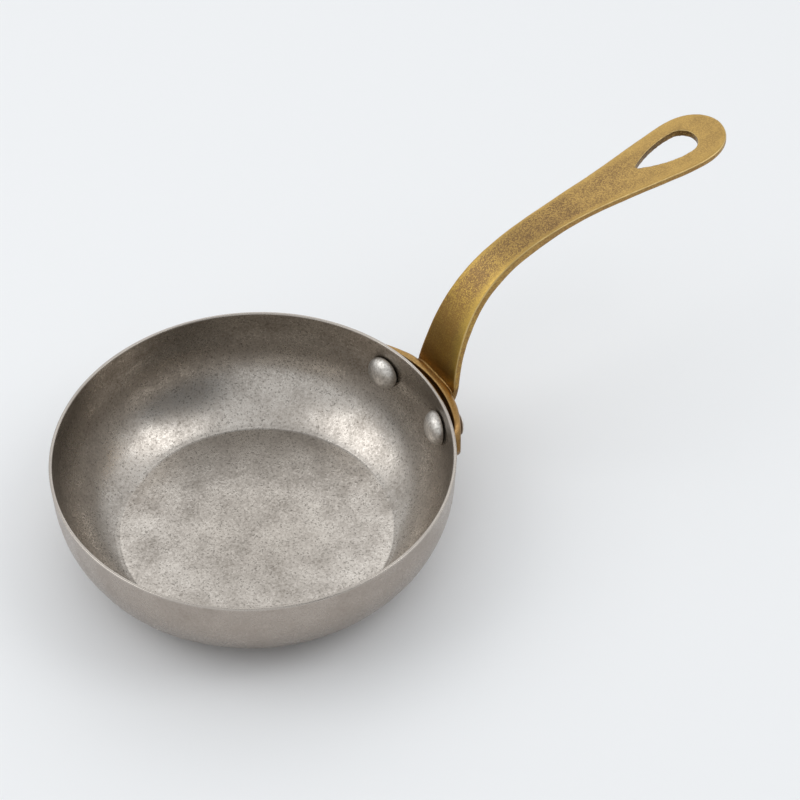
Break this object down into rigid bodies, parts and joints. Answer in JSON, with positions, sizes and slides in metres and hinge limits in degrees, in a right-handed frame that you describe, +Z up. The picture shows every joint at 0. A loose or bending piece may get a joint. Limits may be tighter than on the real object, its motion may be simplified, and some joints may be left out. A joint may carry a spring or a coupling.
{
  "type": "omelette pan",
  "caption": "small round frying pan with a curved wall, a riveted cast handle that arches up and out, and a teardrop eye to hang it by",
  "frame": {"origin": "centre of the flat underside, on the surface that the pan stands on", "axes": "+Z up along the pan's round axis, +X from the pan's centre along the handle to its tip, +Y to the left of the handle seen from the pan"},
  "size_m": [0.2704, 0.14, 0.0938],
  "materials": {
    "pan_steel": "tumbled satin",
    "handle_brass": "aged satin",
    "rivet_steel": "tumbled satin"
  },
  "bodies": {
    "root": {"pan_body": "pan_steel", "handle": "handle_brass", "rivet_left": "rivet_steel", "rivet_right": "rivet_steel"}
  },
  "joints": []
}
